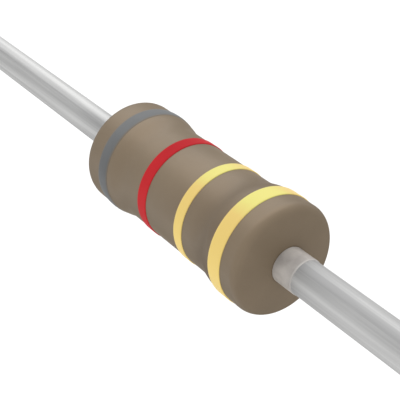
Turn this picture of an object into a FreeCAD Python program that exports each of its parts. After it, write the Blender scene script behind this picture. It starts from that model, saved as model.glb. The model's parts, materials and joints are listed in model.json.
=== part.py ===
import FreeCAD, Part
import math
import os

import Sketcher
from FreeCAD import Placement, Rotation, Vector

# Axial carbon film resistor, quarter watt size, millimetres.
# The resistor lies along X with its middle at the origin; the tolerance band is at the +X end.
# It is built from the inside out, the way it is made: rod, film, groove, caps, leads, coat, bands.

SIZES = {
    # fired alumina rod, with the carbon film grown on its round surface
    "rod_diameter": 1.74,
    "rod_length": 5.3,
    "rod_chamfer": 0.12,
    "film_thickness": 0.03,
    # spiral groove cut through the film to trim it to its value
    "groove_width": 0.15,
    "groove_pitch": 1.1,
    "groove_span": 2.5,
    # steel cup pressed over each end of the filmed rod
    "cap_wall": 0.2,
    "cap_length": 1.0,
    "cap_bend_radius": 0.3,
    # tinned wire, butt welded to the cap with a spread foot
    "wire_diameter": 0.8,
    "overall_length": 26,
    "weld_spread": 0.12,
    # clear lacquer that ran out along the wire
    "collar_thickness": 0.015,
    "collar_run_out": 0.55,
    # tan lacquer coat
    "coat_on_caps": 0.2,
    "coat_on_ends": 0.2,
    "waist_depth": 0.11,
    "bulge_length": 0.91,
    "slope_length": 0.79,
    "dome_height": 0.13,
    "rim_radius": 0.2,
    # painted bands: the outer two are set out from the body's ends, the inner two from its middle
    "paint_thickness": 0.02,
    "grey_from_end": 0.88,
    "grey_width": 0.37,
    "red_from_middle": 0.64,
    "red_width": 0.33,
    "multiplier_from_middle": 0.78,
    "multiplier_width": 0.29,
    "tolerance_from_end": 0.81,
    "tolerance_width": 0.4,
}

# Sizes that follow from the ones above.
ROD_RADIUS = "(Sizes.rod_diameter / 2)"
FILM_RADIUS = f"({ROD_RADIUS} + Sizes.film_thickness)"
CAP_RADIUS = f"({FILM_RADIUS} + Sizes.cap_wall)"
CAP_FACE = "(Sizes.rod_length / 2 + Sizes.cap_wall)"
WIRE_RADIUS = "(Sizes.wire_diameter / 2)"
WELD_END = f"({CAP_FACE} + Sizes.weld_spread)"
BULGE_RADIUS = f"({CAP_RADIUS} + Sizes.coat_on_caps)"
WAIST_RADIUS = f"({BULGE_RADIUS} - Sizes.waist_depth)"
HALF_BODY = f"({CAP_FACE} + Sizes.coat_on_ends)"
SLOPE_START = f"({HALF_BODY} - Sizes.bulge_length)"
SLOPE_END = f"({SLOPE_START} - Sizes.slope_length)"
# Two equal arcs, tangent to each other and to both sides, span the slope's length and the waist's depth.
SLOPE_RADIUS = "((Sizes.slope_length ^ 2 + Sizes.waist_depth ^ 2) / (4 * Sizes.waist_depth))"
# The arc through the end's middle and rim, from its chord and its height.
DOME_RADIUS = f"(({BULGE_RADIUS} ^ 2 + Sizes.dome_height ^ 2) / (2 * Sizes.dome_height))"

X_AXIS_CURVE = -1
Y_AXIS_CURVE = -2
START = 1
END = 2
CENTRE = 3
ALONG_X = Rotation(Vector(0, 1, 0), 90)

doc = FreeCAD.newDocument("carbon_film_resistor")

sheet = doc.addObject("Spreadsheet::Sheet", "Sizes")
for row, (alias, number) in enumerate(SIZES.items(), start=1):
    sheet.set(f"A{row}", alias)
    sheet.set(f"B{row}", str(number))
    sheet.setAlias(f"B{row}", alias)
doc.recompute()


def value(formula):
    """The number that a formula of the sheet gives now."""
    return float(sheet.evalExpression(formula))


def new_body(label):
    body = doc.addObject("PartDesign::Body", label)
    body.Label = label
    return body


def origin_part(body, role):
    """One of the body's own planes or axes."""
    return next(part for part in body.Origin.OriginFeatures if part.Role == role)


def new_sketch(body, name, plane):
    sketch = body.newObject("Sketcher::SketchObject", name)
    sketch.AttachmentSupport = [(origin_part(body, plane), "")]
    sketch.MapMode = "FlatFace"
    return sketch


def bind(sketch, name, kind, geometry, formula):
    """Add a named dimension to a sketch and tie it to a formula."""
    index = sketch.addConstraint(Sketcher.Constraint(kind, *geometry, value(formula)))
    sketch.renameConstraint(index, name)
    sketch.setExpression(f"Constraints.{name}", formula)


def bind_corner(sketch, name, line, along, out):
    """Tie a line's start to its distance along the X axis and out from it."""
    for kind, formula, axis in (("DistanceX", along, Y_AXIS_CURVE), ("DistanceY", out, X_AXIS_CURVE)):
        if formula == "0":
            sketch.addConstraint(Sketcher.Constraint("PointOnObject", line, START, axis))
        else:
            bind(sketch, f"{name}_{kind}", kind, (X_AXIS_CURVE, START, line, START), formula)


def straight_outline(body, name, corners):
    """Closed outline of straight lines in the XY plane, through corners given as (along X, out from X)."""
    sketch = new_sketch(body, name, "XY_Plane")
    points = [Vector(value(along), value(out), 0) for along, out in corners]
    for start, end in zip(points, points[1:] + points[:1]):
        sketch.addGeometry(Part.LineSegment(start, end))
    for line in range(len(points)):
        following = (line + 1) % len(points)
        sketch.addConstraint(Sketcher.Constraint("Coincident", line, END, following, START))
    for line, (along, out) in enumerate(corners):
        bind_corner(sketch, f"corner_{line}", line, along, out)
    return sketch


def revolve(body, sketch):
    turned = body.newObject("PartDesign::Revolution", f"{sketch.Name}_turned")
    turned.Profile = sketch
    turned.ReferenceAxis = (origin_part(body, "X_Axis"), [""])
    turned.Angle = 360
    doc.recompute()
    return turned


def ring_edges(feature, along, out):
    """Names of the circular edges around X at a place along it and a radius."""
    names = []
    for number, edge in enumerate(feature.Shape.Edges, start=1):
        if edge.Degenerated or not isinstance(edge.Curve, Part.Circle):
            continue
        if abs(edge.Curve.Radius - out) < 1e-5 and abs(abs(edge.Curve.Center.x) - abs(along)) < 1e-5:
            names.append(f"Edge{number}")
    return names


def dress_edges(body, kind, base, places, dimension, formula):
    """Fillet or chamfer the ring edges of a feature at the given (along X, radius) places."""
    names = [name for along, out in places for name in ring_edges(base, value(along), value(out))]
    dressed = body.newObject(f"PartDesign::{kind}", f"{body.Name}_{kind.lower()}")
    dressed.Base = (base, names)
    dressed.setExpression(dimension, formula)
    doc.recompute()
    return dressed


def cut_groove(body):
    """Cut the spiral trimming groove right through the film's thickness, from above it to below it."""
    side = "Sizes.groove_width / 2"
    left = f"-Sizes.groove_span / 2 - {side}"
    right = f"-Sizes.groove_span / 2 + {side}"
    above = f"{FILM_RADIUS} + Sizes.film_thickness"
    below = f"{ROD_RADIUS} - Sizes.film_thickness"
    corners = [(left, below), (right, below), (right, above), (left, above)]
    groove = body.newObject("PartDesign::SubtractiveHelix", f"{body.Name}_groove")
    groove.Profile = straight_outline(body, f"{body.Name}_groove_section", corners)
    groove.ReferenceAxis = (origin_part(body, "X_Axis"), [""])
    groove.Mode = "pitch-height-angle"
    groove.setExpression("Pitch", "Sizes.groove_pitch")
    groove.setExpression("Height", "Sizes.groove_span")
    doc.recompute()


def pad_discs(body, radii, length):
    """Pad one or two circles around X, evenly to both sides of the middle."""
    sketch = new_sketch(body, f"{body.Name}_section", "YZ_Plane")
    for number, formula in enumerate(radii):
        circle = sketch.addGeometry(Part.Circle(Vector(), Vector(0, 0, 1), value(formula)))
        sketch.addConstraint(Sketcher.Constraint("Coincident", circle, CENTRE, X_AXIS_CURVE, START))
        bind(sketch, f"radius_{number}", "Radius", (circle,), formula)
    pad = body.newObject("PartDesign::Pad", f"{body.Name}_length")
    pad.Profile = sketch
    pad.SideType = "Symmetric"
    pad.setExpression("Length", length)
    doc.recompute()
    return pad


def make_rod():
    """Ceramic rod with chamfered ends."""
    body = new_body("ceramic_rod")
    pad = pad_discs(body, [ROD_RADIUS], "Sizes.rod_length")
    ends = [("Sizes.rod_length / 2", ROD_RADIUS)]
    dress_edges(body, "Chamfer", pad, ends, "Size", "Sizes.rod_chamfer")
    return body


def make_film():
    """Carbon film on the rod between its chamfers, cut into a spiral track between two whole rings."""
    body = new_body("carbon_film")
    pad_discs(body, [FILM_RADIUS, ROD_RADIUS], "Sizes.rod_length - 2 * Sizes.rod_chamfer")
    cut_groove(body)
    return body


def make_cap(side, turn):
    """Pressed steel cup: its wall grips the film and its floor sits on the rod's end."""
    body = new_body(f"end_cap_{side}")
    floor = "Sizes.rod_length / 2"
    mouth = f"{CAP_FACE} - Sizes.cap_length"
    corners = [
        (floor, "0"),
        (CAP_FACE, "0"),
        (CAP_FACE, CAP_RADIUS),
        (mouth, CAP_RADIUS),
        (mouth, FILM_RADIUS),
        (floor, FILM_RADIUS),
    ]
    cup = revolve(body, straight_outline(body, f"cup_section_{side}", corners))
    bend = dress_edges(body, "Fillet", cup, [(CAP_FACE, CAP_RADIUS)], "Radius", "Sizes.cap_bend_radius")
    inner_bend = "Sizes.cap_bend_radius - Sizes.cap_wall"
    dress_edges(body, "Chamfer", bend, [(floor, FILM_RADIUS)], "Size", inner_bend)
    body.Placement = turn
    return body


def make_lead(side, turn):
    """Round wire, square cut at its tip, spread to a foot where it is welded to the cap."""
    body = new_body(f"lead_{side}")
    tip = "Sizes.overall_length / 2"
    foot = f"{WIRE_RADIUS} + Sizes.weld_spread"
    corners = [(CAP_FACE, "0"), (tip, "0"), (tip, WIRE_RADIUS), (WELD_END, WIRE_RADIUS), (CAP_FACE, foot)]
    revolve(body, straight_outline(body, f"wire_section_{side}", corners))
    body.Placement = turn
    return body


def body_form(label, growth):
    """The dog-bone form of the lacquered body, grown outward all over by a thickness."""
    body = new_body(label)
    sketch = new_sketch(body, f"{label}_section", "XY_Plane")
    grown_dome = f"({DOME_RADIUS} + {growth})"
    grown_bulge = f"({BULGE_RADIUS} + {growth})"
    rim_place = f"{HALF_BODY} - {DOME_RADIUS} + sqrt({grown_dome} ^ 2 - {grown_bulge} ^ 2)"
    rim, waist = value(BULGE_RADIUS), value(WAIST_RADIUS)
    end, slope_start, slope_end = value(HALF_BODY), value(SLOPE_START), value(SLOPE_END)
    slope, dome, grow = value(SLOPE_RADIUS), value(DOME_RADIUS), value(growth)
    lean = math.asin((slope_start - slope_end) / 2 / slope)
    sweep = math.asin((rim + grow) / (dome + grow))
    rim_at = value(rim_place)
    normal = Vector(0, 0, 1)

    def arc(x, y, radius, first, last):
        return Part.ArcOfCircle(Part.Circle(Vector(x, y, 0), normal, radius), first, last)

    def line(start, finish):
        return Part.LineSegment(Vector(*start, 0), Vector(*finish, 0))

    axis = sketch.addGeometry(line((0, 0), (end + grow, 0)))
    dome_arc = sketch.addGeometry(arc(end - dome, 0, dome + grow, 0, sweep))
    bulge = sketch.addGeometry(line((rim_at, rim + grow), (slope_start, rim + grow)))
    crest = sketch.addGeometry(
        arc(slope_start, rim - slope, slope + grow, math.pi / 2, math.pi / 2 + lean)
    )
    hollow = sketch.addGeometry(
        arc(slope_end, waist + slope, slope - grow, -math.pi / 2, -math.pi / 2 + lean)
    )
    neck = sketch.addGeometry(line((slope_end, waist + grow), (0, waist + grow)))
    middle = sketch.addGeometry(line((0, waist + grow), (0, 0)))

    for constraint in (
        ("Coincident", axis, START, X_AXIS_CURVE, START),
        ("Horizontal", axis),
        ("Coincident", axis, END, dome_arc, START),
        ("PointOnObject", dome_arc, CENTRE, X_AXIS_CURVE),
        ("Coincident", dome_arc, END, bulge, START),
        ("Horizontal", bulge),
        ("Tangent", bulge, END, crest, START),
        ("Tangent", crest, END, hollow, END),
        ("Tangent", hollow, START, neck, START),
        ("Horizontal", neck),
        ("Coincident", neck, END, middle, START),
        ("Vertical", middle),
        ("Coincident", middle, END, axis, START),
    ):
        sketch.addConstraint(Sketcher.Constraint(*constraint))
    origin = (X_AXIS_CURVE, START)
    bind(sketch, "end", "DistanceX", (*origin, axis, END), f"{HALF_BODY} + {growth}")
    bind(sketch, "dome", "Radius", (dome_arc,), grown_dome)
    bind(sketch, "rim", "DistanceY", (*origin, bulge, END), grown_bulge)
    bind(sketch, "slope_start", "DistanceX", (*origin, bulge, END), SLOPE_START)
    bind(sketch, "crest", "Radius", (crest,), f"{SLOPE_RADIUS} + {growth}")
    bind(sketch, "slope_end", "DistanceX", (*origin, neck, START), SLOPE_END)
    bind(sketch, "waist", "DistanceY", (*origin, neck, START), f"{WAIST_RADIUS} + {growth}")

    half = revolve(body, sketch)
    whole = body.newObject("PartDesign::Mirrored", f"{label}_both_halves")
    whole.Originals = [half]
    whole.MirrorPlane = (origin_part(body, "YZ_Plane"), [""])
    body.Tip = whole
    doc.recompute()
    dress_edges(body, "Fillet", whole, [(rim_place, grown_bulge)], "Radius", f"Sizes.rim_radius + {growth}")
    return body


def boolean(kind, label, base, tool):
    made = doc.addObject(f"Part::{kind}", label)
    made.Label = label
    made.Base = base
    made.Tool = tool
    doc.recompute()
    return made


def make_collar(side, turn, coat_form):
    """Thin sleeve of clear lacquer that ran out along the wire from the coat's end."""
    sleeve = new_body(f"sleeve_{side}")
    outer_end = f"{HALF_BODY} + Sizes.collar_run_out"
    outside = f"{WIRE_RADIUS} + Sizes.collar_thickness"
    corners = [(CAP_FACE, WIRE_RADIUS), (outer_end, WIRE_RADIUS), (outer_end, outside), (CAP_FACE, outside)]
    revolve(sleeve, straight_outline(sleeve, f"sleeve_section_{side}", corners))
    sleeve.Placement = turn
    return boolean("Cut", f"lacquer_collar_{side}", sleeve, coat_form)


def make_band(label, shell, middle, width):
    """The stretch of the paint shell that a band covers, cut out by a disc of the band's width."""
    disc = doc.addObject("Part::Cylinder", f"{label}_reach")
    disc.setExpression("Radius", f"{BULGE_RADIUS} + 2 * Sizes.paint_thickness")
    disc.setExpression("Height", width)
    disc.Placement = Placement(Vector(), ALONG_X)
    disc.setExpression("Placement.Base.x", f"{middle} - {width} / 2")
    return boolean("Common", label, shell, disc)


rod = make_rod()
film = make_film()
coat_form = body_form("coat_form", "0")
ends = []
collars = []
for side, angle in (("left", 180), ("right", 0)):
    turn = Placement(Vector(), Rotation(Vector(0, 0, 1), angle))
    ends += [make_cap(side, turn), make_lead(side, turn)]
    collars.append(make_collar(side, turn, coat_form))

# The coat fills everything between its outer form and what it covers, the groove too.
core = new_body("core_form")
pad_discs(core, [FILM_RADIUS], "Sizes.rod_length")
cut_groove(core)
covered = doc.addObject("Part::MultiFuse", "covered_form")
covered.Shapes = [core, rod, *ends]
doc.recompute()
coat = boolean("Cut", "lacquer_coat", coat_form, covered)

# The bands are stretches of a paint layer that follows the coat's outer form.
paint_form = body_form("paint_form", "Sizes.paint_thickness")
paint_shell = boolean("Cut", "paint_shell", paint_form, coat_form)
bands = [
    make_band(label, paint_shell, middle, width)
    for label, middle, width in (
        ("band_grey", f"(Sizes.grey_from_end - {HALF_BODY})", "Sizes.grey_width"),
        ("band_red", "-Sizes.red_from_middle", "Sizes.red_width"),
        ("band_gold_multiplier", "Sizes.multiplier_from_middle", "Sizes.multiplier_width"),
        ("band_gold_tolerance", f"({HALF_BODY} - Sizes.tolerance_from_end)", "Sizes.tolerance_width"),
    )
]

doc.recompute()
for item in doc.Objects:
    faults = {"Invalid", "Error"} & set(item.State)
    if faults:
        raise RuntimeError(f"{item.Label} did not build: {item.State}")

os.makedirs("parts", exist_ok=True)
for piece in [rod, film, *ends, *collars, coat, *bands]:
    shape = piece.Shape
    if shape.isNull() or not shape.isValid() or len(shape.Solids) != 1:
        raise RuntimeError(f"{piece.Label} is not one sound solid")
    shape.exportStep(f"parts/{piece.Label}.step")
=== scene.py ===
import json
import math

import bpy
from mathutils import Matrix, Vector


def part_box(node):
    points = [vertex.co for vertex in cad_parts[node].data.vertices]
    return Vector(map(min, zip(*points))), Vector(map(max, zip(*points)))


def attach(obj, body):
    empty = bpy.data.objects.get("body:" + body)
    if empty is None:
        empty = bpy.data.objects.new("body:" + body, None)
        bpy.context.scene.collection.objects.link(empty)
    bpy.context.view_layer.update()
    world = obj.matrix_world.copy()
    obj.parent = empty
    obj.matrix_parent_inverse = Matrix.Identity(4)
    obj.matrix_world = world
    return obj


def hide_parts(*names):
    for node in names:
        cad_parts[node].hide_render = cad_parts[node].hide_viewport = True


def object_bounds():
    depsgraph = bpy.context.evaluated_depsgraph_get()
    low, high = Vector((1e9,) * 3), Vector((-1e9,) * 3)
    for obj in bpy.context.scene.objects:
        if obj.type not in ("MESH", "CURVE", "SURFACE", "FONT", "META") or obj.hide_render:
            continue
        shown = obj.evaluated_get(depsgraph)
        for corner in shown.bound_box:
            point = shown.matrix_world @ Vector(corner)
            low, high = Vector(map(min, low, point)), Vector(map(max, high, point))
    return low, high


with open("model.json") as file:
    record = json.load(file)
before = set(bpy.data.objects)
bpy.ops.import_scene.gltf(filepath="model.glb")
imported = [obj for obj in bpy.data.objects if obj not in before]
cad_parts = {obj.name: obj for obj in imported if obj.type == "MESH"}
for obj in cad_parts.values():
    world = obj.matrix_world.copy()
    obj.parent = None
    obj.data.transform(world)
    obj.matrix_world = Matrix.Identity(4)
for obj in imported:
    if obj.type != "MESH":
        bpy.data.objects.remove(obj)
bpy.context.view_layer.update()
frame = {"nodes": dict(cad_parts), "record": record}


# Ceramic rod: the fired alumina core that carries the resistive film. It is off white, matt
# and slightly grainy. The caps and the coat hide it.

MM = 0.001
CLOUD_RANGE = (0.3, 0.7)
MIX_FIRST_COLOUR = 6
MIX_SECOND_COLOUR = 7
MIX_COLOUR_RESULT = 2
ALUMINA_PALE = (0.82, 0.80, 0.74, 1)
ALUMINA_WARM = (0.72, 0.69, 0.62, 1)
ALUMINA_GRAIN = 0.06 * MM
ALUMINA_RELIEF = 0.002 * MM


def node(tree, kind, **settings):
    """Add a node and set its properties."""
    made = tree.nodes.new(kind)
    for name, setting in settings.items():
        setattr(made, name, setting)
    return made


def feed(place, item):
    """Give an input a plain value, or link another node's output to it."""
    if isinstance(item, (bpy.types.NodeSocket, Number)):
        place.id_data.links.new(getattr(item, "socket", item), place)
    else:
        place.default_value = item


class Number:
    """A number in a node tree. Calculating with it adds Math nodes, so a rule reads as a formula."""

    def __init__(self, socket):
        self.socket = socket

    def __add__(self, other):
        return calculate("ADD", self, other)

    def __sub__(self, other):
        return calculate("SUBTRACT", self, other)

    def __rsub__(self, other):
        return calculate("SUBTRACT", other, self)

    def __mul__(self, other):
        return calculate("MULTIPLY", self, other)

    def __truediv__(self, other):
        return calculate("DIVIDE", self, other)

    def __pow__(self, other):
        return calculate("POWER", self, other)

    __radd__ = __add__
    __rmul__ = __mul__


def calculate(operation, *items):
    """The result of a Math node, in the tree that its first calculated item belongs to."""
    tree = next(item for item in items if isinstance(item, Number)).socket.id_data
    made = node(tree, "ShaderNodeMath", operation=operation)
    for place, item in zip(made.inputs, items):
        feed(place, item)
    return Number(made.outputs[0])


def clamped(number):
    """The number held between 0 and 1."""
    held = calculate("ADD", number, 0)
    held.socket.node.use_clamp = True
    return held


def new_material(name, roughness, metallic=0.0):
    """An empty material with a principled surface. Gives the material, its tree and the surface's node."""
    made = bpy.data.materials.new(name)
    made.use_nodes = True
    tree = made.node_tree
    tree.nodes.clear()
    surface = node(tree, "ShaderNodeBsdfPrincipled")
    output = node(tree, "ShaderNodeOutputMaterial")
    tree.links.new(surface.outputs["BSDF"], output.inputs["Surface"])
    surface.inputs["Roughness"].default_value = roughness
    surface.inputs["Metallic"].default_value = metallic
    return made, tree, surface


def grain(tree, size, stretch=(1, 1, 1), detail=3.0, shift=0.0):
    """Noise whose patches have about the given size, drawn out along each axis by its stretch."""
    place = node(tree, "ShaderNodeTexCoord")
    mapping = node(tree, "ShaderNodeMapping")
    noise = node(tree, "ShaderNodeTexNoise")
    tree.links.new(place.outputs["Object"], mapping.inputs["Vector"])
    tree.links.new(mapping.outputs["Vector"], noise.inputs["Vector"])
    mapping.inputs["Scale"].default_value = [1 / draw for draw in stretch]
    mapping.inputs["Location"].default_value = (shift, shift, shift)
    noise.inputs["Scale"].default_value = 1 / size
    noise.inputs["Detail"].default_value = detail
    return Number(noise.outputs["Fac"])


def spread(number, low, high):
    """The number's range from low to high made 0 to 1."""
    return clamped((number - low) / (high - low))


def blend(tree, share, first, second):
    """The first colour at share 0, the second at share 1."""
    mix = node(tree, "ShaderNodeMix", data_type="RGBA")
    feed(mix.inputs[0], share)
    feed(mix.inputs[MIX_FIRST_COLOUR], first)
    feed(mix.inputs[MIX_SECOND_COLOUR], second)
    return mix.outputs[MIX_COLOUR_RESULT]


def relief(surface, height, depth):
    """Raise the surface by a height from 0 to 1, times the depth in metres."""
    bump = node(surface.id_data, "ShaderNodeBump")
    feed(bump.inputs["Height"], height)
    bump.inputs["Distance"].default_value = depth
    feed(surface.inputs["Normal"], bump.outputs["Normal"])


def finish_cad_node(name, finish):
    """Give a carried-over piece its material."""
    mesh = frame["nodes"][name].data
    mesh.materials.clear()
    mesh.materials.append(finish)


alumina, tree, surface = new_material("fired_alumina", roughness=0.8)
fine = grain(tree, ALUMINA_GRAIN)
feed(surface.inputs["Base Color"], blend(tree, spread(fine, *CLOUD_RANGE), ALUMINA_WARM, ALUMINA_PALE))
relief(surface, fine, ALUMINA_RELIEF)
finish_cad_node("ceramic_rod", alumina)


# Carbon film: the resistive layer, baked onto the rod from a gas and then cut by a spiral groove
# until the track between the caps has its value. It is dull black with a faint soot grain.

SOOT_BLACK = (0.012, 0.012, 0.013, 1)
SOOT_GREY = (0.035, 0.035, 0.037, 1)
SOOT_GRAIN = 0.03 * MM
SOOT_RANGE = (0.35, 0.65)
SOOT_RELIEF = 0.001 * MM

soot, tree, surface = new_material("carbon_soot", roughness=0.62)
fine = grain(tree, SOOT_GRAIN)
feed(surface.inputs["Base Color"], blend(tree, spread(fine, *SOOT_RANGE), SOOT_BLACK, SOOT_GREY))
relief(surface, fine, SOOT_RELIEF)
finish_cad_node("carbon_film", soot)


# End caps: two steel cups, drawn in a press, plated and pushed over the ends of the filmed rod,
# which they grip. Drawing leaves fine lines along their walls.

CAP_DULL = (0.42, 0.42, 0.41, 1)
CAP_BRIGHT = (0.60, 0.60, 0.58, 1)
CAP_LINES = 0.03 * MM
CAP_LINE_DRAW = (12, 1, 1)
CAP_RELIEF = 0.0008 * MM

cap_steel, tree, surface = new_material("plated_cap_steel", roughness=0.38, metallic=1.0)
lines = grain(tree, CAP_LINES, CAP_LINE_DRAW)
feed(surface.inputs["Base Color"], blend(tree, spread(lines, *CLOUD_RANGE), CAP_DULL, CAP_BRIGHT))
relief(surface, lines, CAP_RELIEF)
for name in ("end_cap_left", "end_cap_right"):
    finish_cad_node(name, cap_steel)


# Leads: two round copper wires, drawn through a die, tinned all over and butt welded to the caps.
# The tin is satin, with long streaks from the die. Painted shade darkens it towards the body
# and a painted dark reflection runs along two flanks. The cutter leaves a small rounded lip.

WIRE_RADIUS = frame["record"]["mounts"][0]["dims"]["r_mm"] * MM
WIRE_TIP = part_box("lead_right")[1].x
CAP_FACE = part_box("lead_right")[0].x
WELD_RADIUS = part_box("lead_right")[1].y
WELD_END = CAP_FACE + WELD_RADIUS - WIRE_RADIUS
TIP_LIP = 0.06 * MM
TIP_LIP_STEPS = 6
WIRE_STEPS = 96
TIN_DARK = (0.26, 0.26, 0.26, 1)
TIN_LIGHT = (0.59, 0.59, 0.585, 1)
TIN_AT_EDGE = (0.65, 0.65, 0.65, 1)
TIN_SHINE = 0.45
# Painted dark reflection along two flanks of the wire, and painted shade towards the body.
DARK_REFLECTION_ANGLE = math.radians(32)
DARK_REFLECTION_RANGE = (0.79, 1.0)
DARK_REFLECTION_LOSS = 0.5
ROOT_SHADE_RANGE = (5.2 * MM, 3.5 * MM)
ROOT_SHADE_LOSS = 0.2
STREAK_WIDTH = 0.22 * MM
FINE_STREAK_WIDTH = 0.05 * MM
STREAK_DRAW = (60, 1, 1)
STREAK_SHIFT = 4.2 * MM
STREAK_RANGE = (0.36, 0.64)
STREAK_GAIN = 0.55
BROAD_SHARE = 0.7
STREAK_RELIEF = 0.0015 * MM
MERGE_DISTANCE = 0.00001 * MM
SHARP_ANGLE = math.radians(35)
GRID_SIZE = 1


def new_tree(name, sockets):
    """An empty geometry tree with its inputs, given as name: kind. Gives the tree and its named inputs."""
    tree = bpy.data.node_groups.new(name, "GeometryNodeTree")
    for title, kind in sockets.items():
        tree.interface.new_socket(title, in_out="INPUT", socket_type=f"NodeSocket{kind}")
    tree.interface.new_socket("Geometry", in_out="OUTPUT", socket_type="NodeSocketGeometry")
    entry = node(tree, "NodeGroupInput")
    numbers = ("Float", "Int")
    return tree, {
        title: Number(entry.outputs[title]) if kind in numbers else entry.outputs[title]
        for title, kind in sockets.items()
    }


def turned(tree, outline, steps):
    """A copy of the group that turns an outline, in the given tree."""
    group = node(tree, "GeometryNodeGroup", node_tree=turn_about_x)
    feed(group.inputs["Outline"], outline)
    feed(group.inputs["Steps"], steps)
    return group.outputs["Geometry"]


def close_tree(tree, geometry, finish):
    """End a tree in real geometry with its material."""
    real = node(tree, "GeometryNodeRealizeInstances")
    painted = node(tree, "GeometryNodeSetMaterial")
    output = node(tree, "NodeGroupOutput")
    feed(real.inputs["Geometry"], geometry)
    feed(painted.inputs["Geometry"], real.outputs["Geometry"])
    feed(painted.inputs["Material"], finish)
    feed(output.inputs["Geometry"], painted.outputs["Geometry"])


def made_by(tree, name, settings, outline=()):
    """A plain mesh object made by a tree, from its named settings and an outline of (along, out) points."""
    mesh = bpy.data.meshes.new(name)
    links = [(first, first + 1) for first in range(len(outline) - 1)]
    mesh.from_pydata([(along, out, 0) for along, out in outline], links, [])
    piece = bpy.data.objects.new(name, mesh)
    bpy.context.scene.collection.objects.link(piece)
    modifier = piece.modifiers.new(tree.name, "NODES")
    modifier.node_group = tree
    for socket in tree.interface.items_tree:
        if socket.in_out == "INPUT" and socket.name in settings:
            modifier[socket.identifier] = settings[socket.name]
    evaluated = piece.evaluated_get(bpy.context.evaluated_depsgraph_get())
    finished = bpy.data.meshes.new_from_object(evaluated)
    piece.modifiers.remove(modifier)
    piece.data = finished
    finished.materials.pop(index=0)
    finished.name = name
    return piece


def seat(piece, cad_node):
    """Let a finished piece stand for its CAD node."""
    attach(piece, "root")
    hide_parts(cad_node)


def place_along(tree, axis):
    """A point's place along one of the object's axes."""
    where = node(tree, "ShaderNodeTexCoord")
    split = node(tree, "ShaderNodeSeparateXYZ")
    feed(split.inputs[0], where.outputs["Object"])
    return Number(split.outputs[axis])


def painted_dark_reflection(tree):
    """How much painted dark reflection a point gets: 1 along the middle of each wire flank, 0 beside it."""
    upward, sideways = place_along(tree, "Z"), place_along(tree, "Y")
    off_plane = upward * math.cos(DARK_REFLECTION_ANGLE) - sideways * math.sin(DARK_REFLECTION_ANGLE)
    return spread(calculate("ABSOLUTE", off_plane) / WIRE_RADIUS, *DARK_REFLECTION_RANGE)


# The outline lies in the XY plane, with its distance along X and its radius along Y. A grid with one
# column for each of its points is wrapped round X, and the seam and the poles are closed.
turn_about_x, given = new_tree("turn_about_x", {"Outline": "Geometry", "Steps": "Int"})
count = node(turn_about_x, "GeometryNodeAttributeDomainSize", component="MESH")
feed(count.inputs["Geometry"], given["Outline"])
columns = Number(count.outputs["Point Count"])
grid = node(turn_about_x, "GeometryNodeMeshGrid")
grid.inputs["Size X"].default_value = GRID_SIZE
grid.inputs["Size Y"].default_value = GRID_SIZE
feed(grid.inputs["Vertices X"], columns)
feed(grid.inputs["Vertices Y"], given["Steps"] + 1)
place = node(turn_about_x, "GeometryNodeInputPosition")
flat = node(turn_about_x, "ShaderNodeSeparateXYZ")
feed(flat.inputs[0], place.outputs[0])
column = calculate("ROUND", (Number(flat.outputs["X"]) + GRID_SIZE / 2) * (columns - 1))
angle = (Number(flat.outputs["Y"]) + GRID_SIZE / 2) * math.tau
sampled = node(turn_about_x, "GeometryNodeSampleIndex", data_type="FLOAT_VECTOR", domain="POINT")
feed(sampled.inputs["Geometry"], given["Outline"])
feed(sampled.inputs["Value"], place.outputs[0])
feed(sampled.inputs["Index"], column)
point = node(turn_about_x, "ShaderNodeSeparateXYZ")
feed(point.inputs[0], sampled.outputs[0])
out = Number(point.outputs["Y"])
wrapped = node(turn_about_x, "ShaderNodeCombineXYZ")
feed(wrapped.inputs["X"], point.outputs["X"])
feed(wrapped.inputs["Y"], out * calculate("SINE", angle))
feed(wrapped.inputs["Z"], out * calculate("COSINE", angle))
moved = node(turn_about_x, "GeometryNodeSetPosition")
feed(moved.inputs["Geometry"], grid.outputs["Mesh"])
feed(moved.inputs["Position"], wrapped.outputs[0])
merged = node(turn_about_x, "GeometryNodeMergeByDistance")
feed(merged.inputs["Geometry"], moved.outputs["Geometry"])
merged.inputs["Distance"].default_value = MERGE_DISTANCE
smooth = node(turn_about_x, "GeometryNodeSetShadeSmooth", domain="FACE")
feed(smooth.inputs["Geometry"], merged.outputs["Geometry"])
bend = node(turn_about_x, "GeometryNodeInputMeshEdgeAngle")
creased = node(turn_about_x, "GeometryNodeSetShadeSmooth", domain="EDGE")
feed(creased.inputs["Geometry"], smooth.outputs["Geometry"])
too_sharp = calculate("GREATER_THAN", Number(bend.outputs["Unsigned Angle"]), SHARP_ANGLE)
feed(creased.inputs["Selection"], too_sharp)
creased.inputs["Shade Smooth"].default_value = False
output = node(turn_about_x, "NodeGroupOutput")
feed(output.inputs["Geometry"], creased.outputs["Geometry"])

turned_inputs = {"Outline": "Geometry", "Steps": "Int", "Material": "Material"}
turned_piece, given = new_tree("turned_piece", turned_inputs)
close_tree(turned_piece, turned(turned_piece, given["Outline"], given["Steps"]), given["Material"])

tin, tree, surface = new_material("satin_tin", roughness=0.5, metallic=1.0)
broad = grain(tree, STREAK_WIDTH, STREAK_DRAW, detail=1.0, shift=STREAK_SHIFT)
fine = grain(tree, FINE_STREAK_WIDTH, STREAK_DRAW)
streaks = spread(broad * BROAD_SHARE + fine * (1 - BROAD_SHARE), *STREAK_RANGE)
# Painted shade towards the body and a painted dark reflection along two flanks darken the tin's colour.
root_shade = spread(calculate("ABSOLUTE", place_along(tree, "X")), *ROOT_SHADE_RANGE)
painted_shade = painted_dark_reflection(tree) * DARK_REFLECTION_LOSS + root_shade * ROOT_SHADE_LOSS
shine = clamped(TIN_SHINE + streaks * STREAK_GAIN - painted_shade)
feed(surface.inputs["Base Color"], blend(tree, shine, TIN_DARK, TIN_LIGHT))
surface.inputs["Specular Tint"].default_value = TIN_AT_EDGE
relief(surface, fine, STREAK_RELIEF)

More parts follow.
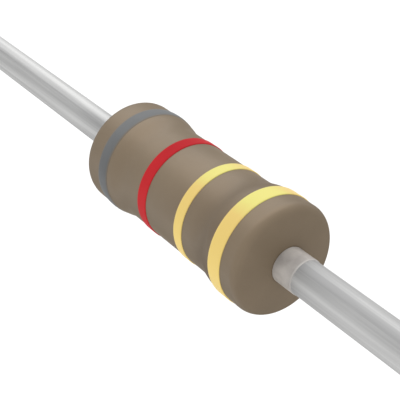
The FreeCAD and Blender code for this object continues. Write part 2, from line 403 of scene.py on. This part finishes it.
lip = [
    (WIRE_TIP - TIP_LIP * (1 - math.sin(turn)), WIRE_RADIUS - TIP_LIP * (1 - math.cos(turn)))
    for turn in (math.pi / 2 * step / TIP_LIP_STEPS for step in range(TIP_LIP_STEPS + 1))
]
wire_outline = [
    (CAP_FACE, 0),
    (CAP_FACE, WELD_RADIUS),
    (WELD_END, WIRE_RADIUS),
    (WIRE_TIP - 2 * TIP_LIP, WIRE_RADIUS),
    *lip,
    (WIRE_TIP, 0),
]
for side, sign in (("left", -1), ("right", 1)):
    outline = [(sign * along, out) for along, out in wire_outline][::sign]
    settings = {"Steps": WIRE_STEPS, "Material": tin}
    wire = made_by(turned_piece, f"wire_{side}", settings, outline)
    seat(wire, f"lead_{side}")


# Body coat: tan lacquer, laid on wet over the rod and its caps and then baked. It stands out over
# the caps, sinks between them and is slightly domed and duller at its ends. Painted shade darkens
# the right slope, and painted light makes the low side paler and the ends a little lighter.
# Inside it is the print of what it covers.

BULGE_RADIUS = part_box("lacquer_coat")[1].y
WIRE_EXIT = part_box("lacquer_coat")[1].x
WAIST_DEPTH = 0.11 * MM
BULGE_LENGTH = 0.91 * MM
SLOPE_LENGTH = 0.79 * MM
DOME_HEIGHT = 0.13 * MM
DOME_RADIUS = (BULGE_RADIUS ** 2 + DOME_HEIGHT ** 2) / (2 * DOME_HEIGHT)
HALF_BODY = WIRE_EXIT + DOME_RADIUS - math.sqrt(DOME_RADIUS ** 2 - WIRE_RADIUS ** 2)
RIM_RADIUS = 0.2 * MM
CAP_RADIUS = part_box("end_cap_right")[1].y
CAP_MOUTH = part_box("end_cap_right")[0].x
CAP_BEND = 0.3 * MM
CAP_BEND_STEPS = 4
FILM_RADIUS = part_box("carbon_film")[1].y
BODY_STEPS = 160
SKIN_POINTS = 321
SEAM_DISTANCE = 0.001 * MM
SIDE_SHARE = 0.7
RIM_SHARE = 0.9
LACQUER_DARK = (0.119, 0.089, 0.056, 1)
LACQUER_LIGHT = (0.143, 0.109, 0.070, 1)
# Painted light: the domed ends' own tone, a little lighter than the side's.
END_LIT_TONE_DARK = (0.129, 0.098, 0.063, 1)
END_LIT_TONE_LIGHT = (0.157, 0.119, 0.078, 1)
# Painted shade on the right slope, strongest at its middle.
SLOPE_SHADE_DARK = (0.092, 0.067, 0.041, 1)
SLOPE_SHADE_LIGHT = (0.110, 0.082, 0.052, 1)
SLOPE_SHADE_PLACE = 1.85 * MM
SLOPE_SHADE_REACH = 0.75 * MM
TOP_LEAN = math.radians(5)
# Painted light on the coat's low side.
LOW_SIDE_LIGHT_RANGE = (0.5, 0.1)
PAINTED_LOW_LIGHT = 0.4
LACQUER_SHINE = (1.0, 0.80, 0.62, 1)
LACQUER_ROUGHNESS = 0.45
SLANT_RANGE = (0.2, 0.65)
SLANT_LOSS = 0.5
GRAZING_RANGE = (0.5, 0.75)
GRAZING_ROUGHNESS = 0.25
END_ROUGHNESS = 0.25
END_FADE = 0.07 * MM
LACQUER_CLOUDS = 1.3 * MM
LACQUER_CLOUD_SHIFT = 17 * MM
LACQUER_PEEL = 0.16 * MM
LACQUER_PEEL_DEPTH = 0.0016 * MM


def choose(condition, when_true, when_false):
    """One of two numbers."""
    switch = node(condition.socket.id_data, "GeometryNodeSwitch", input_type="FLOAT")
    feed(switch.inputs["Switch"], condition)
    feed(switch.inputs["True"], when_true)
    feed(switch.inputs["False"], when_false)
    return Number(switch.outputs[0])


def below(number, limit):
    return calculate("LESS_THAN", number, limit)


def side_radius(along, sizes):
    """The coat's radius at a distance from its middle. Two equal arcs lead from the waist to the bulge."""
    length, depth = sizes["Slope length"], sizes["Waist depth"]
    slope_end = sizes["Half body"] - sizes["Bulge length"] - length
    arc = (length ** 2 + depth ** 2) / (4 * depth)
    climb = clamped((along - slope_end) / length) * length
    left_over = length - climb
    low = arc - calculate("SQRT", arc ** 2 - climb ** 2)
    high = depth - arc + calculate("SQRT", arc ** 2 - left_over ** 2)
    return sizes["Bulge radius"] - depth + choose(below(climb, length / 2), low, high)


def line_of_points(tree, count, along, out):
    """An outline of so many points, each at its place along and out."""
    line = node(tree, "GeometryNodeMeshLine")
    feed(line.inputs["Count"], count)
    place = node(tree, "ShaderNodeCombineXYZ")
    feed(place.inputs["X"], along)
    feed(place.inputs["Y"], out)
    moved = node(tree, "GeometryNodeSetPosition")
    feed(moved.inputs["Geometry"], line.outputs["Mesh"])
    feed(moved.inputs["Position"], place.outputs[0])
    return moved.outputs["Geometry"]


# The skin's points run from the left wire to the right one. From the middle outwards they cover the
# side, then the rim's arc, then the domed end down to the wire.
coat_tree, sizes = new_tree(
    "dog_bone_coat",
    {
        "Inside": "Geometry",
        "Half body": "Float",
        "Bulge radius": "Float",
        "Bulge length": "Float",
        "Slope length": "Float",
        "Waist depth": "Float",
        "Dome height": "Float",
        "Rim radius": "Float",
        "Wire radius": "Float",
        "Skin points": "Int",
        "Steps": "Int",
        "Material": "Material",
    },
)
index = Number(node(coat_tree, "GeometryNodeInputIndex").outputs[0])
across = index / (sizes["Skin points"] - 1) * 2 - 1
outward = calculate("ABSOLUTE", across)
bulge, rim = sizes["Bulge radius"], sizes["Rim radius"]
dome = (bulge ** 2 + sizes["Dome height"] ** 2) / (2 * sizes["Dome height"])
dome_centre = sizes["Half body"] - dome
rim_turn = calculate("ARCSINE", (bulge - rim) / (dome - rim))
rim_centre = dome_centre + (dome - rim) * calculate("COSINE", rim_turn)
wire_turn = calculate("ARCSINE", sizes["Wire radius"] / dome)

side_along = rim_centre * clamped(outward / SIDE_SHARE)
on_rim = clamped((outward - SIDE_SHARE) / (RIM_SHARE - SIDE_SHARE))
rim_angle = math.pi / 2 - on_rim * (math.pi / 2 - rim_turn)
on_dome = clamped((outward - RIM_SHARE) / (1 - RIM_SHARE))
dome_angle = rim_turn - on_dome * (rim_turn - wire_turn)
rim_along = rim_centre + rim * calculate("COSINE", rim_angle)
rim_out = bulge - rim + rim * calculate("SINE", rim_angle)
dome_along = dome_centre + dome * calculate("COSINE", dome_angle)
dome_out = dome * calculate("SINE", dome_angle)
past_side = choose(below(outward, RIM_SHARE), rim_along, dome_along)
past_side_out = choose(below(outward, RIM_SHARE), rim_out, dome_out)
along = choose(below(outward, SIDE_SHARE), side_along, past_side) * calculate("SIGN", across)
out = choose(below(outward, SIDE_SHARE), side_radius(side_along, sizes), past_side_out)
skin = turned(coat_tree, line_of_points(coat_tree, sizes["Skin points"], along, out), sizes["Steps"])
inside = turned(coat_tree, sizes["Inside"], sizes["Steps"])
joined = node(coat_tree, "GeometryNodeJoinGeometry")
for part in (skin, inside):
    feed(joined.inputs[0], part)
closed = node(coat_tree, "GeometryNodeMergeByDistance")
feed(closed.inputs["Geometry"], joined.outputs[0])
closed.inputs["Distance"].default_value = SEAM_DISTANCE
close_tree(coat_tree, closed.outputs["Geometry"], sizes["Material"])


# The coat, the red and the gold use this share to paint light and shade by height.
def upper_share(tree):
    """How far a point lies on the part's upper side: 1 at its top, 0 from the axis's height down."""
    upward, sideways = place_along(tree, "Z"), place_along(tree, "Y")
    out = calculate("SQRT", upward * upward + sideways * sideways)
    return clamped((upward * math.cos(TOP_LEAN) - sideways * math.sin(TOP_LEAN)) / out)


lacquer, tree, surface = new_material("satin_tan_lacquer", LACQUER_ROUGHNESS)
surface.inputs["Specular Tint"].default_value = LACQUER_SHINE
facing = Number(node(tree, "ShaderNodeLayerWeight").outputs["Facing"])
feed(surface.inputs["Specular IOR Level"], 1 - spread(facing, *SLANT_RANGE) * SLANT_LOSS)
clouds = spread(grain(tree, LACQUER_CLOUDS, detail=4.0, shift=LACQUER_CLOUD_SHIFT), *CLOUD_RANGE)
peel = grain(tree, LACQUER_PEEL, detail=2.0)
# Painted light makes the low side paler, over the lacquer's random clouds.
clouds_and_low_light = clamped(clouds + spread(upper_share(tree), *LOW_SIDE_LIGHT_RANGE) * PAINTED_LOW_LIGHT)
side_tone = blend(tree, clouds_and_low_light, LACQUER_DARK, LACQUER_LIGHT)
# Painted light: the ends' own, slightly lighter tone.
painted_end_light = blend(tree, clouds, END_LIT_TONE_DARK, END_LIT_TONE_LIGHT)
slope_shade_tone = blend(tree, clouds, SLOPE_SHADE_DARK, SLOPE_SHADE_LIGHT)
along = place_along(tree, "X")
# Painted shade darkens the right slope.
painted_slope_shade = clamped(1 - ((along - SLOPE_SHADE_PLACE) / SLOPE_SHADE_REACH) ** 2) ** 2
reach = calculate("ABSOLUTE", along)
end_edge = HALF_BODY - DOME_HEIGHT
on_end = spread(reach, end_edge - END_FADE, end_edge)
duller = spread(facing, *GRAZING_RANGE) * GRAZING_ROUGHNESS + on_end * END_ROUGHNESS
feed(surface.inputs["Roughness"], LACQUER_ROUGHNESS + duller)
coat_tone = blend(tree, painted_slope_shade, blend(tree, on_end, side_tone, painted_end_light), slope_shade_tone)
feed(surface.inputs["Base Color"], coat_tone)
relief(surface, peel, LACQUER_PEEL_DEPTH)

cap_bend = [
    (CAP_FACE - CAP_BEND * (1 - math.cos(turn)), CAP_RADIUS - CAP_BEND * (1 - math.sin(turn)))
    for turn in (math.pi / 2 * step / CAP_BEND_STEPS for step in range(CAP_BEND_STEPS + 1))
]
right_inside = [
    (WIRE_EXIT, WIRE_RADIUS),
    (WELD_END, WIRE_RADIUS),
    (CAP_FACE, WELD_RADIUS),
    *cap_bend,
    (CAP_MOUTH, CAP_RADIUS),
    (CAP_MOUTH, FILM_RADIUS),
]
left_inside = [(-along, out) for along, out in right_inside[::-1]]
coat_sizes = {
    "Half body": HALF_BODY,
    "Bulge radius": BULGE_RADIUS,
    "Bulge length": BULGE_LENGTH,
    "Slope length": SLOPE_LENGTH,
    "Waist depth": WAIST_DEPTH,
    "Dome height": DOME_HEIGHT,
    "Rim radius": RIM_RADIUS,
    "Wire radius": WIRE_RADIUS,
    "Skin points": SKIN_POINTS,
    "Steps": BODY_STEPS,
}
settings = {**coat_sizes, "Material": lacquer}
body = made_by(coat_tree, "body_coat", settings, right_inside + left_inside)
seat(body, "lacquer_coat")


# Clear collars: where each wire leaves the body, clear lacquer has run out along it and dried in a
# thin sleeve that ends in a small bead. Through it the tin looks warmer and without streaks.
# The wire's painted dark reflection goes on along its flanks, and the bead's end has one even
# tone, a painted highlight.

COLLAR_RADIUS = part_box("lacquer_collar_right")[1].y
COLLAR_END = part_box("lacquer_collar_right")[1].x
COLLAR_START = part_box("lacquer_collar_right")[0].x
BEAD_LENGTH = 0.035 * MM
BEAD_STEPS = 8
# Painted highlight: the bead's end takes one even tone.
BEAD_HIGHLIGHT_RANGE = (COLLAR_END - 1.5 * BEAD_LENGTH, COLLAR_END - 0.5 * BEAD_LENGTH)
COLLAR_GREY = (0.27, 0.25, 0.235, 1)
COLLAR_PALE = (0.48, 0.45, 0.42, 1)
COLLAR_BEAD_HIGHLIGHT = (0.37, 0.35, 0.33, 1)
COLLAR_CLOUDS = 0.5 * MM
COLLAR_LIFT = 0.1
# Painted dark reflection along the collar's flanks, as on the wire.
COLLAR_DARK_REFLECTION_LOSS = 0.45
COLLAR_COAT = 0.2
COLLAR_COAT_ROUGHNESS = 0.25

varnish, tree, surface = new_material("clear_varnish_on_tin", roughness=0.42)
clouds = grain(tree, COLLAR_CLOUDS, detail=4.0)
clouds_less_dark_reflection = clamped(spread(clouds, *CLOUD_RANGE) + COLLAR_LIFT - painted_dark_reflection(tree) * COLLAR_DARK_REFLECTION_LOSS)
tone = blend(tree, clouds_less_dark_reflection, COLLAR_GREY, COLLAR_PALE)
reach = calculate("ABSOLUTE", place_along(tree, "X"))
# Painted highlight: one even tone at the bead's end.
bead_highlight = spread(reach, *BEAD_HIGHLIGHT_RANGE)
feed(surface.inputs["Base Color"], blend(tree, bead_highlight, tone, COLLAR_BEAD_HIGHLIGHT))
surface.inputs["Coat Weight"].default_value = COLLAR_COAT
surface.inputs["Coat Roughness"].default_value = COLLAR_COAT_ROUGHNESS

bead = [
    (
        COLLAR_END - BEAD_LENGTH * (1 - math.sin(turn)),
        WIRE_RADIUS + (COLLAR_RADIUS - WIRE_RADIUS) * math.cos(turn),
    )
    for turn in (math.pi / 2 * step / BEAD_STEPS for step in range(BEAD_STEPS + 1))
]
collar_outline = [
    (COLLAR_START, WIRE_RADIUS),
    (COLLAR_START, COLLAR_RADIUS),
    (COLLAR_END - 2 * BEAD_LENGTH, COLLAR_RADIUS),
    *bead,
    (COLLAR_START, WIRE_RADIUS),
]
for side, sign in (("left", -1), ("right", 1)):
    outline = [(sign * along, out) for along, out in collar_outline][::sign]
    settings = {"Steps": WIRE_STEPS, "Material": varnish}
    collar = made_by(turned_piece, f"clear_collar_{side}", settings, outline)
    seat(collar, f"lacquer_collar_{side}")


# Colour bands: four rings of paint, rolled onto the coat by a wheel, so they follow its form. The
# red and gold ones end in a steep rounded edge, and the grey one thins out and lets the tan show.
# Grey, red and gold give 8.2 ohm, and the wide gold one 5 percent.

PAINT_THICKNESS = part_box("band_gold_tolerance")[1].y - BULGE_RADIUS
BAND_POINTS = 49
CRISP_EDGE = 12
FEATHERED_EDGE = 2
GREY_DARK = (0.090, 0.094, 0.097, 1)
GREY_LIGHT = (0.110, 0.115, 0.118, 1)
# Painted shade: the red is darker on its upper side.
RED_SHADED_UPPER = (0.36, 0.013, 0.018, 1)
RED_LOWER = (0.49, 0.023, 0.028, 1)
RED_DRIFT = 0.7
CLOUD_MIDDLE = 0.5
# Painted shade and light on the orange, darker higher up; painted highlight on the lemon top.
ORANGE_SHADED_UPPER = (0.585, 0.425, 0.128, 1)
ORANGE_LIT_LOWER = (0.80, 0.59, 0.166, 1)
GOLD_LEMON_HIGHLIGHT = (0.59, 0.54, 0.145, 1)
LEMON_HIGHLIGHT_RANGE = (0.84, 0.96)
LEMON_DRIFT = 0.25
GREY_THINNING = (0.7, 1.1)
PAINT_CLOUDS = 0.8 * MM
PAINT_PEEL = 0.12 * MM
PAINT_PEEL_DEPTH = 0.001 * MM


def paint(name, roughness, shine):
    """Paint with a faint peel, still without a colour. Gives the material, its tree, surface and clouds."""
    made, tree, surface = new_material(name, roughness)
    surface.inputs["Specular IOR Level"].default_value = shine
    relief(surface, grain(tree, PAINT_PEEL, detail=2.0), PAINT_PEEL_DEPTH)
    return made, tree, surface, grain(tree, PAINT_CLOUDS)


band_tree, sizes = new_tree(
    "painted_band",
    {
        "Start": "Float",
        "Width": "Float",
        "Thickness": "Float",
        "Edge sharpness": "Float",
        "Half body": "Float",
        "Bulge radius": "Float",
        "Bulge length": "Float",
        "Slope length": "Float",
        "Waist depth": "Float",
        "Points": "Int",
        "Steps": "Int",
        "Material": "Material",
    },
)
index = Number(node(band_tree, "GeometryNodeInputIndex").outputs[0])
step = calculate("MODULO", index, sizes["Points"]) / (sizes["Points"] - 1)
from_middle = 0 - calculate("COSINE", step * math.pi)
along = sizes["Start"] + sizes["Width"] * (from_middle + 1) / 2
fullness = clamped(1 - calculate("ABSOLUTE", from_middle) ** sizes["Edge sharpness"])
thickness = sizes["Thickness"] * calculate("SQRT", fullness)
out = side_radius(calculate("ABSOLUTE", along), sizes) + thickness
outline = line_of_points(band_tree, sizes["Points"] + 1, along, out)
close_tree(band_tree, turned(band_tree, outline, sizes["Steps"]), sizes["Material"])

grey_paint, tree, surface, clouds = paint("grey_band_paint", roughness=0.6, shine=0.5)
middle = (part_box("band_grey")[0].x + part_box("band_grey")[1].x) / 2
half_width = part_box("band_grey")[1].x - middle
off_middle = calculate("ABSOLUTE", place_along(tree, "X") - middle) / half_width
full = blend(tree, spread(clouds, *CLOUD_RANGE), GREY_DARK, GREY_LIGHT)
feed(surface.inputs["Base Color"], blend(tree, spread(off_middle, *GREY_THINNING), full, LACQUER_LIGHT))

# Painted shade makes the red a little darker on its upper side.
red_paint, tree, surface, clouds = paint("red_band_paint", roughness=0.6, shine=0.05)
top_shade_and_clouds = clamped(upper_share(tree) ** 2 + RED_DRIFT * (clouds - CLOUD_MIDDLE))
feed(surface.inputs["Base Color"], blend(tree, top_shade_and_clouds, RED_LOWER, RED_SHADED_UPPER))

# The gold is lemon along its top, a painted highlight, with a ragged change to an orange. Painted
# shade and light make the orange darker higher up and paler downwards.
gold_paint, tree, surface, clouds = paint("gold_band_paint", roughness=0.5, shine=0.3)
upper = upper_share(tree)
shaded_orange = blend(tree, upper, ORANGE_LIT_LOWER, ORANGE_SHADED_UPPER)
lemon_highlight = spread(upper + LEMON_DRIFT * (clouds - CLOUD_MIDDLE), *LEMON_HIGHLIGHT_RANGE)
feed(surface.inputs["Base Color"], blend(tree, lemon_highlight, shaded_orange, GOLD_LEMON_HIGHLIGHT))

band_finishes = (
    ("grey", "grey_paint", grey_paint, FEATHERED_EDGE),
    ("red", "red_paint", red_paint, CRISP_EDGE),
    ("gold_multiplier", "gold_paint", gold_paint, CRISP_EDGE),
    ("gold_tolerance", "gold_paint", gold_paint, CRISP_EDGE),
)
for colour, slot, finish, sharpness in band_finishes:
    low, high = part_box(f"band_{colour}")
    settings = {
        **coat_sizes,
        "Start": low.x,
        "Width": high.x - low.x,
        "Thickness": PAINT_THICKNESS,
        "Edge sharpness": sharpness,
        "Points": BAND_POINTS,
        "Material": finish,
    }
    seat(made_by(band_tree, f"{colour}_band", settings), f"band_{colour}")


# Studio: a wide pale table well below the part, an even white sky and one wide soft light from
# above, behind the part. The camera looks down on the tolerance band's end from the side.

TABLE_HALF = 1200 * MM
TABLE_WHITE = (0.74, 0.74, 0.74, 1)
TABLE_DROP = 60 * MM
SKY_COLOUR = (1, 1, 1, 1)
SKY_STRENGTH = 1.0
KEY_DIRECTION = Vector((-0.35, 0.20, 0.92))
KEY_STRENGTH = 1.65
KEY_SOFTNESS = math.radians(80)
VIEW_AZIMUTH = math.radians(54.83)
VIEW_ELEVATION = math.radians(31.26)
VIEW_DISTANCE = 22.416 * MM
VIEW_SHIFT = Vector((-0.042, 0.028)) * MM
VIEW_LENS = 89.98
VIEW_CLIP = (1 * MM, 2000 * MM)

table_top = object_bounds()[0].z - TABLE_DROP
corners = [(-1, -1), (1, -1), (1, 1), (-1, 1)]
mesh = bpy.data.meshes.new("table")
mesh.from_pydata([(x * TABLE_HALF, y * TABLE_HALF, table_top) for x, y in corners], [], [(0, 1, 2, 3)])
table = bpy.data.objects.new("table", mesh)
bpy.context.scene.collection.objects.link(table)
white, tree, surface = new_material("white_table", roughness=0.9)
surface.inputs["Base Color"].default_value = TABLE_WHITE
mesh.materials.append(white)

sky = bpy.data.worlds.new("studio")
sky.use_nodes = True
background = sky.node_tree.nodes["Background"]
background.inputs["Color"].default_value = SKY_COLOUR
background.inputs["Strength"].default_value = SKY_STRENGTH
bpy.context.scene.world = sky

key = bpy.data.lights.new("key", "SUN")
key.energy = KEY_STRENGTH
key.angle = KEY_SOFTNESS
key_lamp = bpy.data.objects.new("key", key)
key_lamp.rotation_mode = "QUATERNION"
key_lamp.rotation_quaternion = KEY_DIRECTION.to_track_quat("Z", "Y")
bpy.context.scene.collection.objects.link(key_lamp)

turn = Matrix.Rotation(VIEW_AZIMUTH, 3, "Z") @ Matrix.Rotation(math.pi / 2 - VIEW_ELEVATION, 3, "X")
camera_data = bpy.data.cameras.new("camera")
camera_data.lens = VIEW_LENS
camera_data.clip_start, camera_data.clip_end = VIEW_CLIP
camera = bpy.data.objects.new("camera", camera_data)
camera.rotation_mode = "QUATERNION"
camera.rotation_quaternion = turn.to_quaternion()
camera.location = turn @ Vector((VIEW_SHIFT.x, VIEW_SHIFT.y, VIEW_DISTANCE))
bpy.context.scene.collection.objects.link(camera)
bpy.context.scene.camera = camera
bpy.context.scene.view_settings.view_transform = "Standard"
